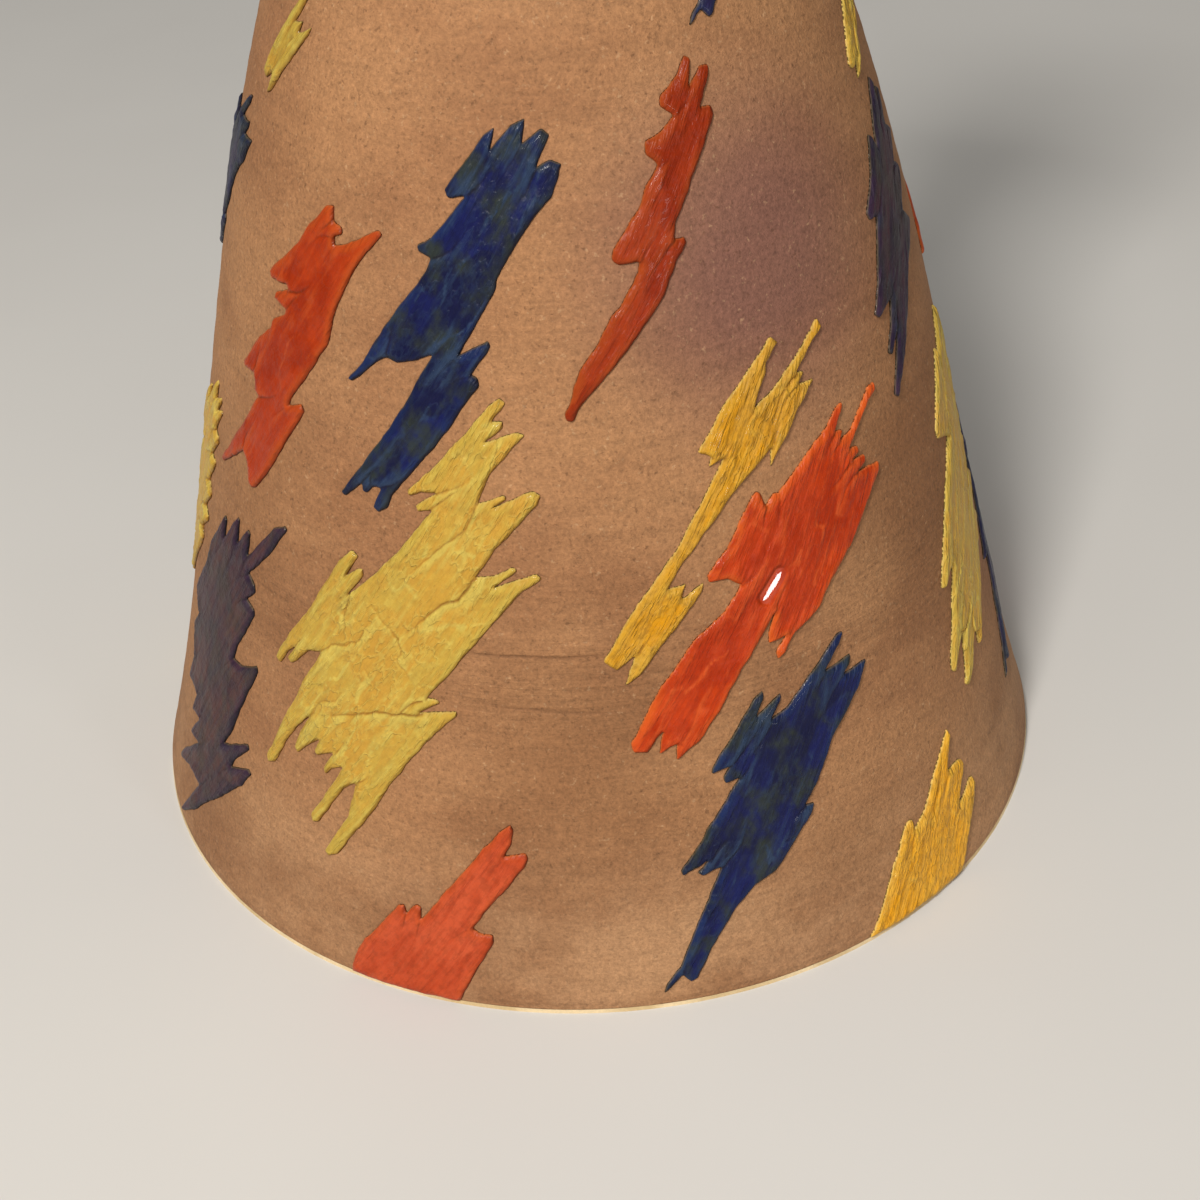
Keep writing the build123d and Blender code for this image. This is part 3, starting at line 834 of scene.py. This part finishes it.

# %% [markdown]
# ## Matte brown slip
# The slip is brown clay, a little uneven from the brush: warm tan, darker in soft patches at four
# spots, with dark flecks and pale specks. A purplish flush lies high on the front right, where the
# kiln's flame touched it. The sponge left pale and dark wipes near the foot.

# %% Mix the slip's colours
FLAME_SPOT = (0.050, -0.085, 0.205)
# Darker patches of the slip: (the spot, its reach, its strength)
darker_patches = [
    ((0.0, -0.125, 0.075), 0.060, 0.72), ((0.105, -0.075, 0.125), 0.060, 0.6),
    ((-0.112, -0.062, 0.130), 0.070, 0.45), ((0.128, -0.064, 0.021), 0.022, 0.6),
]
slip = Finish("brown_slip_matte", Specular_IOR_Level=0.2)
spot = slip.place()
clouds = slip.cloud(slip.place(1, 1, 1.6), 13, 5, 0.6)
streaks = slip.cloud(slip.place(9, 9, 260), 1, 4, 0.6)
fine_streaks = slip.cloud(slip.place(30, 30, 900), 1, 3, 0.6)
grain = slip.cloud(spot, 1100, 3, 0.75)
sand = slip.cloud(spot, 480, 2, 0.6)
flecks = slip.between(slip.cloud(spot, 760, 2, 0.6), 0.60, 0.72)
pale_specks = slip.between(slip.cloud(slip.place(1, 1, 1.01), 640, 2, 0.6), 0.62, 0.74)
ground = slip.mix(seen(152, 106, 71), seen(171, 124, 84), slip.between(clouds, 0.33, 0.66))
flush = 1 - slip.between(slip.far(spot, FLAME_SPOT), 0.01, 0.065)
ground = slip.mix(ground, seen(122, 82, 74), flush * 0.8)
for centre, reach, share in darker_patches:
    ragged = slip.far(spot, centre) + (clouds - 0.5) * reach * 1.6
    darker_patch = slip.between(ragged, reach, reach * 0.15)
    ground = slip.mix(ground, seen(134, 91, 58), darker_patch * share)
ground = slip.mix(ground, seen(92, 60, 38), flecks * 0.45)
ground = slip.mix(ground, seen(198, 160, 120), pale_specks * 0.35)
level = slip.node("ShaderNodeSeparateXYZ", inputs={0: spot}, out=2)
near_foot = 1 - slip.between(level, 0.02, 0.06)
wipes = slip.between(slip.cloud(slip.place(22, 22, 34), 1, 5, 0.65), 0.34, 0.66)
ground = slip.mix(ground, slip.mix(seen(138, 99, 68), seen(184, 143, 105), wipes), near_foot * 0.5)
# Painted shade: the slip is darkened in the scored grooves
ground = slip.mix(ground, seen(98, 64, 42), slip.kept("scored") * 0.5)
print("slip colour nodes:", len(slip.tree.nodes))

# %% [markdown]
# ## Scratches, streaks and grain
# Slip is sandy, and turning left faint level streaks in it, stronger round the scored arcs. Fine
# slanting scratches lie on the right, beside the bent red splash. The same noises drive lightness
# and bumps, so a grain that stands up is also lighter. The coat is matte, with only a soft sheen.

# %% Mix the slip's grain
SCRATCHED_SPOT = (0.089, -0.098, 0.113)
ALONG_SCRATCH, ACROSS_SCRATCH = (0.58, 0.52, 0.62), (-0.46, -0.42, 0.78)
drawn_out = slip.stacked(slip.along(spot, ALONG_SCRATCH) * 70, slip.along(spot, ACROSS_SCRATCH) * 1300)
near_scratches = slip.between(slip.far(spot, SCRATCHED_SPOT), 0.017, 0.006)
hairs = slip.between(slip.cloud(drawn_out, 1, 2), 0.56, 0.66) * near_scratches
ground = slip.mix(ground, seen(98, 66, 44), hairs * 0.4)
combed = slip.between(level, 0.080, 0.092) * (1 - slip.between(level, 0.108, 0.120))
streaked = fine_streaks * (0.16 + combed * 0.22) + streaks * 0.22
light = streaked + grain * 1.05 + sand * 0.50 - 0.03 - combed * 0.14
slip.feed(Base_Color=slip.tint(ground, light), Roughness=0.62 + grain * 0.2)
bumps = grain * 0.9 + sand * 0.8 + streaks * 0.4 + fine_streaks * (0.4 + combed * 0.8) - hairs * 0.6
slip.bumped(bumps, 0.8, 0.0004)
slip_coat.data.materials.append(slip.material)
print("slip nodes:", len(slip.tree.nodes))

# %% [markdown]
# ## Bare clay
# The foot ring and the underside were left without slip: dry cream clay, a little sandy.

# %% Mix the clay
clay = Finish("bare_clay_dry", Specular_IOR_Level=0.3)
spot = clay.place()
sand = clay.cloud(spot, 900, 4, 0.7)
tone = clay.mix(seen(205, 178, 132), seen(228, 204, 162), clay.between(clay.cloud(spot, 40), 0.4, 0.6))
clay.feed(Base_Color=clay.tint(tone, 0.75 + sand * 0.45), Roughness=0.75 + sand * 0.2)
clay.bumped(sand, 0.6, 0.0003)
clay_nodes = ("base_slab", "lower_wall", "middle_wall", "upper_wall", "neck", "lip_ring")
for node in clay_nodes:
    nodes[node].data.materials.clear()
    nodes[node].data.materials.append(clay.material)
print("pieces of clay:", len(clay_nodes))

# %% [markdown]
# ## Lining glaze
# A thin dark brown glaze, glossy, with a slightly lighter break where it thinned over the rings.

# %% Mix the lining
inside_glaze = Finish("lining_glaze_dark", Specular_IOR_Level=0.5, Coat_Roughness=0.08)
pools = inside_glaze.cloud(inside_glaze.place(14, 14, 120), 1, 4)
tone = inside_glaze.mix(seen(66, 38, 22), seen(104, 64, 36), inside_glaze.between(pools, 0.35, 0.68))
inside_glaze.feed(Base_Color=tone, Roughness=0.14 + pools * 0.14)
inside_glaze.bumped(pools, 0.3, 0.0008)
lining.data.materials.append(inside_glaze.material)
print("lining glaze nodes:", len(inside_glaze.tree.nodes))

# %% [markdown]
# ## The three splash glazes
# Glass over clay: the colour is deep where the glaze is thick, with clouds, patches and a second
# colour that some splashes lean to. Strands run along the lean. Crests and wrinkles turn pale where
# the glaze ran thin, and the creases are darkened with the rim colour as painted shade. The rim has a
# painted highlight, a pale line on its upper left edge, and painted shade, a dark band and line on its
# lower right. One recipe serves all three glazes and reads the numbers on the mesh.

# %% The recipe of a splash glaze


def splash_glaze(
    name, deep, body, edge, crest, rim, edge_highlight, second, mottle, mottled, gloss, coat, folding, wrinkled
):
    """A glaze from eight colours, the share of its patches, roughness, coat, strands and wrinkles."""
    glaze = Finish(name, Specular_IOR_Level=0.10, Coat_Roughness=0.06)
    spot, along, across = glaze.place(), glaze.kept("along"), glaze.kept("across")
    words = ("depth", "valley", "ridge", "tone", "cast", "shade", "side", "pool")
    depth, valley, ridge, tone, cast, shade, side, pool = (glaze.kept(word) for word in words)
    clouds = glaze.cloud(spot, 60, 3)
    patches = glaze.cloud(glaze.place(1, 1, 0.7), 110, 4, 0.6)
    fine = glaze.cloud(spot, 420, 3, 0.65)
    leaning = glaze.stacked(along * 0.15, across, shade * 40)
    strands, threads = glaze.cloud(leaning, 0.42, 3, 0.6), glaze.cloud(leaning, 1.1, 2, 0.6)
    skin_folds = glaze.cloud(glaze.stacked(along * 0.5, across, shade * 17), 0.36, 2, 0.5)
    wrinkle = glaze.between(skin_folds, 0.43, 0.50) * glaze.between(skin_folds, 0.57, 0.50)
    wrinkle = wrinkle * (0.25 + 0.75 * glaze.between(clouds, 0.42, 0.58)) * wrinkled
    # The body, from the edge inwards
    inner = glaze.between(depth + fine * 0.3, 0.30, 0.9)
    colour = glaze.mix(glaze.mix(edge, second, cast * 0.7), glaze.mix(body, second, cast), inner)
    deeper = glaze.between(clouds * 0.8 + tone * 0.22 + depth * 0.04, 0.50, 0.64)
    colour = glaze.mix(colour, deep, deeper * (0.8 - cast * 0.5))
    blotched = glaze.between(patches, 0.42, 0.64) * (1 - cast * 0.5)
    colour = glaze.mix(colour, mottle, blotched * mottled)
    colour = glaze.mix(colour, deep, glaze.between(strands, 0.52, 0.40) * 0.45 * folding)
    # Crests, wrinkles, dapples, and painted shade in the creases
    high = glaze.between(ridge + strands * 1.6 + fine * 0.2, 0.95, 1.5)
    colour = glaze.mix(colour, crest, high * (0.85 - cast * 0.68))
    colour = glaze.mix(colour, crest, wrinkle * (0.40 - cast * 0.30))
    dapples = glaze.between(fine + threads * 0.6, 0.86, 0.62)
    colour = glaze.mix(colour, rim, dapples * cast * folding * 0.28)
    # Painted shade: the creases are darkened towards the rim colour
    colour = glaze.mix(colour, rim, glaze.between(valley, 0.15, 0.9) * 0.7)
    # The rim: painted shade, a dark band inside the lower right edge, then a fine line right round that is
    # a painted highlight on the upper left edges and painted shade on the lower right
    # away is 1 on the edges facing from the lamp, where the shade is painted
    away = glaze.between(side, 0.3, -0.5)
    colour = glaze.mix(colour, rim, glaze.between(depth + fine * 0.1, 0.36, 0.08) * away * 0.6)
    line = glaze.between(depth + fine * 0.04, 0.13, 0.02)
    colour = glaze.mix(colour, glaze.mix(edge_highlight, rim, away), line * (0.55 + away * 0.35))
    light = shade * (0.72 + fine * 0.40 + threads * 0.16)
    glaze.feed(Base_Color=glaze.tint(colour, light), Roughness=gloss + fine * 0.14)
    glaze.feed(Coat_Weight=coat + glaze.between(pool, 0.3, 0.7) * (1 - coat))
    # The skin follows the strands, most of all near the edge, and is smooth over the pool
    drawn = folding * (0.45 + 0.55 * glaze.between(depth, 1.7, 0.5))
    skin = glaze.cloud(spot, 240, 4, 0.6) * 0.45 + (strands * 1.6 + threads * 0.75) * drawn + wrinkle * 0.24
    glaze.bumped(skin * (1 - glaze.between(pool, 0.1, 0.5)), 0.8, 0.0012)
    return glaze.material


# %% [markdown]
# ## Yellow, red and blue
# Yellow is ochre and the most wrinkled, red leans to orange, and the cobalt blue breaks to olive and
# umber.

# %% Mix the splash glazes
glazes = {
    "yellow": splash_glaze(
        "yellow_glaze_ochre", deep=seen(200, 150, 58), body=seen(194, 160, 68), edge=seen(196, 166, 70),
        crest=seen(208, 184, 88), rim=seen(134, 88, 34), edge_highlight=seen(214, 188, 112),
        second=seen(206, 140, 12), mottle=seen(200, 162, 64),
        mottled=0.4, gloss=0.36, coat=0.05, folding=1.0, wrinkled=1.0,
    ),
    "red": splash_glaze(
        "red_glaze_orange", deep=seen(158, 42, 8), body=seen(182, 56, 12), edge=seen(196, 82, 28),
        crest=seen(198, 80, 34), rim=seen(118, 48, 18), edge_highlight=seen(208, 124, 66),
        second=seen(206, 88, 52), mottle=seen(192, 68, 30),
        mottled=0.45, gloss=0.28, coat=0.03, folding=0.6, wrinkled=0.25,
    ),
    "blue": splash_glaze(
        "blue_glaze_cobalt", deep=seen(20, 22, 52), body=seen(23, 28, 80), edge=seen(28, 42, 84),
        crest=seen(46, 62, 88), rim=seen(30, 27, 36), edge_highlight=seen(122, 104, 70),
        second=seen(84, 50, 46), mottle=seen(50, 56, 42),
        mottled=0.8, gloss=0.34, coat=0.06, folding=0.7, wrinkled=0.5,
    ),
}
for node, piece in poured.items():
    piece.data.materials.append(glazes[node.split("_")[0]])
print("glazes:", list(glazes))

# %% [markdown]
# ## Floor and sky
# A plain pale floor shows the foot and its shadow. A soft sky, brighter overhead than at the horizon,
# lights everything evenly.

# %% Floor and sky
FLOOR_REACH = 8.0
floor = bpy.data.objects.new("floor", bpy.data.meshes.new("floor"))
corners = [(x * FLOOR_REACH, y * FLOOR_REACH, 0) for x, y in ((-1, -1), (1, -1), (1, 1), (-1, 1))]
floor.data.from_pydata(corners, [], [(0, 1, 2, 3)])
bpy.context.scene.collection.objects.link(floor)
floor_paint = Finish("pale_floor", Roughness=0.9, Specular_IOR_Level=0.2)
dust = floor_paint.cloud(floor_paint.place(), 3)
floor_paint.feed(Base_Color=floor_paint.mix(seen(204, 201, 196), seen(216, 214, 209), dust))
floor.data.materials.append(floor_paint.material)

world = bpy.data.worlds.new("soft_sky")
sky = Nodes(world, "Background", {"Color": (1.0, 0.98, 0.95, 1)})
compass = sky.node("ShaderNodeTexCoord", out="Generated")
upward = sky.node("ShaderNodeSeparateXYZ", inputs={0: compass}, out=2)
brightness = {"Value": upward, "From Min": 0.0, "From Max": 0.9, "To Min": 0.09, "To Max": 0.37}
sky.feed(Strength=sky.node("ShaderNodeMapRange", inputs=brightness))
bpy.context.scene.world = world
print("sky, from the horizon up:", brightness["To Min"], "to", brightness["To Max"])

# %% [markdown]
# ## Camera
# The camera stands in front and looks down at the lower half of the vase, rolled a few degrees.

# %% Camera
UP_FROM_STRAIGHT_DOWN, ROLLED = math.radians(54.62), math.radians(-3.46)
camera = bpy.data.objects.new("camera", bpy.data.cameras.new("camera"))
camera.data.lens, camera.data.sensor_width = 55.47, 36
camera.location = (0.00315, -0.51675, 0.40755)
tilt = Matrix.Rotation(UP_FROM_STRAIGHT_DOWN, 4, "X") @ Matrix.Rotation(ROLLED, 4, "Z")
camera.rotation_euler = tilt.to_euler()
bpy.context.scene.collection.objects.link(camera)
bpy.context.scene.camera = camera
bpy.context.scene.view_settings.view_transform = "Standard"
print("camera above the floor, m:", round(camera.location.z, 3))

# %% [markdown]
# ## Lamps
# A large lamp up in front and to the left shapes the cone and the raised edges. A small window hangs
# where the glassy pool mirrors it to the camera, which gives one wet glint.

# %% Hang the lamps
WINDOW_AWAY, WINDOW_LOWEST = 1.2, 0.08


def lamp(name, place, target, size, watts, colour=(1, 1, 1)):
    """A lamp with a width and a height, aimed at a target and unseen by the camera."""
    light = bpy.data.lights.new(name, "AREA")
    light.shape, light.size, light.size_y = "RECTANGLE", size[0], size[1]
    light.energy, light.color = watts, colour
    made = bpy.data.objects.new(name, light)
    made.location = place
    made.rotation_euler = (Vector(target) - Vector(place)).to_track_quat("-Z", "Y").to_euler()
    made.visible_camera = False
    bpy.context.scene.collection.objects.link(made)


lamp("key", (-0.70, -1.40, 1.78), (0, 0, 0.12), (0.42, 0.42), 49, (1, 0.97, 0.93))
red = poured["red_splash_01"].data
gloss = np.empty(len(red.vertices))
red.attributes["pool"].data.foreach_get("value", gloss)
glassy = [red.vertices[i] for i in np.flatnonzero(gloss > 0.93)]
pool_spot = sum((v.co for v in glassy), Vector()) / len(glassy)
pool_normal = sum((v.normal for v in glassy), Vector()).normalized()
to_camera = (camera.location - pool_spot).normalized()
mirrored = 2 * pool_normal.dot(to_camera) * pool_normal - to_camera
hung = pool_spot + WINDOW_AWAY * mirrored
lamp("window", (hung.x, hung.y, max(hung.z, WINDOW_LOWEST)), pool_spot, (0.20, 0.15), 2.4)
print("the pool mirrors the window at", [round(v, 2) for v in hung])
